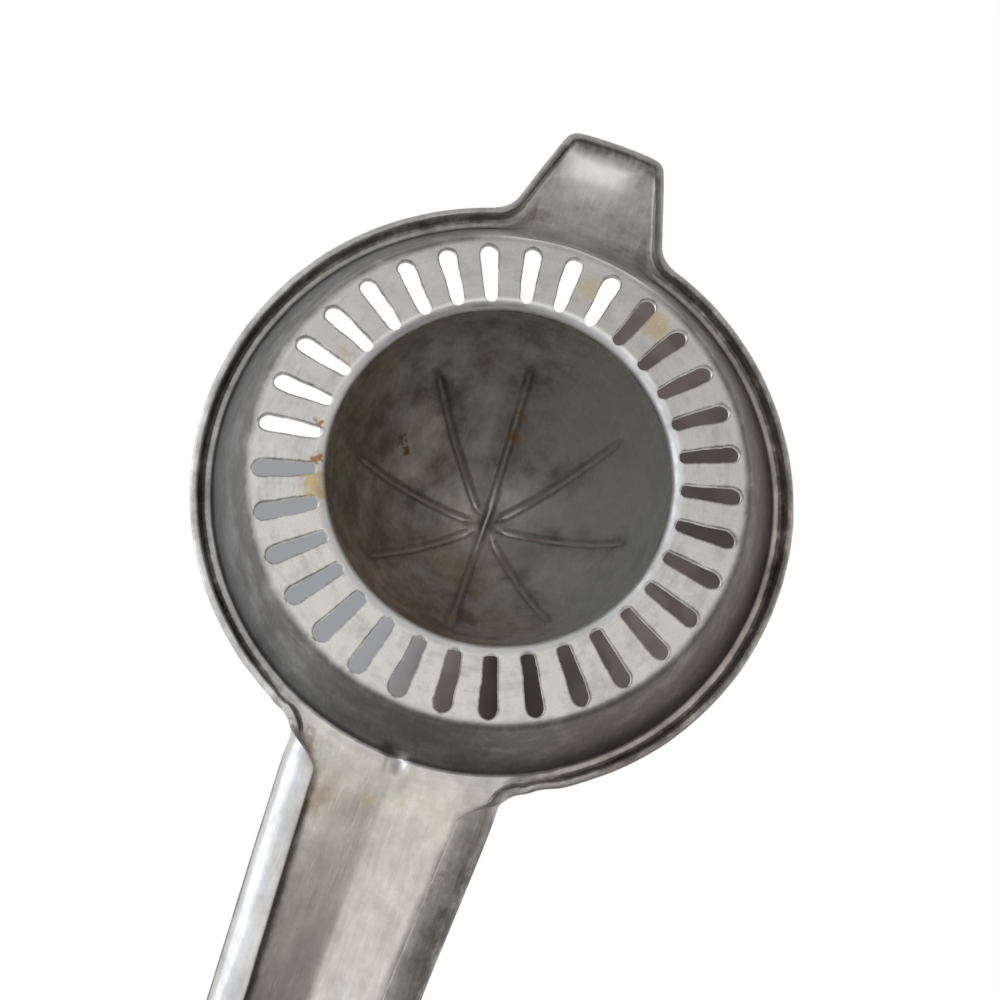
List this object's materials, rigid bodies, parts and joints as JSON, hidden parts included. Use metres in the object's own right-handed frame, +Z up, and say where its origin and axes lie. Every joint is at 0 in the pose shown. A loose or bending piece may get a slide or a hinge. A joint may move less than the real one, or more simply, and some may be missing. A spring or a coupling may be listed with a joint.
{
  "type": "hand citrus reamer",
  "caption": "Hand citrus reamer pressed from sheet metal: ribbed hollow cone in a slotted shallow bowl, with a short pouring lip opposite a long handle with curled edges.",
  "frame": {"origin": "on the axis of the reamer cone, in the plane of the strainer floor's underside, which the reamer rests on", "axes": "+Z up along the cone's axis, +X along the handle away from the bowl, -X towards the pouring lip"},
  "size_m": [0.2, 0.096, 0.0379],
  "materials": {
    "rubbed_aluminium": "worn satin",
    "dulled_aluminium": "oxidised, dull, with draw marks",
    "bright_aluminium": "polished by handling, scratched"
  },
  "bodies": {
    "root": {"reamer_cone": "dulled_aluminium", "strainer_floor": "rubbed_aluminium", "bowl_wall": "dulled_aluminium", "left_rim": "bright_aluminium", "right_rim": "bright_aluminium", "pouring_lip": "rubbed_aluminium", "handle_web": "rubbed_aluminium", "left_curl": "bright_aluminium", "right_curl": "bright_aluminium", "handle_end": "rubbed_aluminium"}
  },
  "joints": []
}
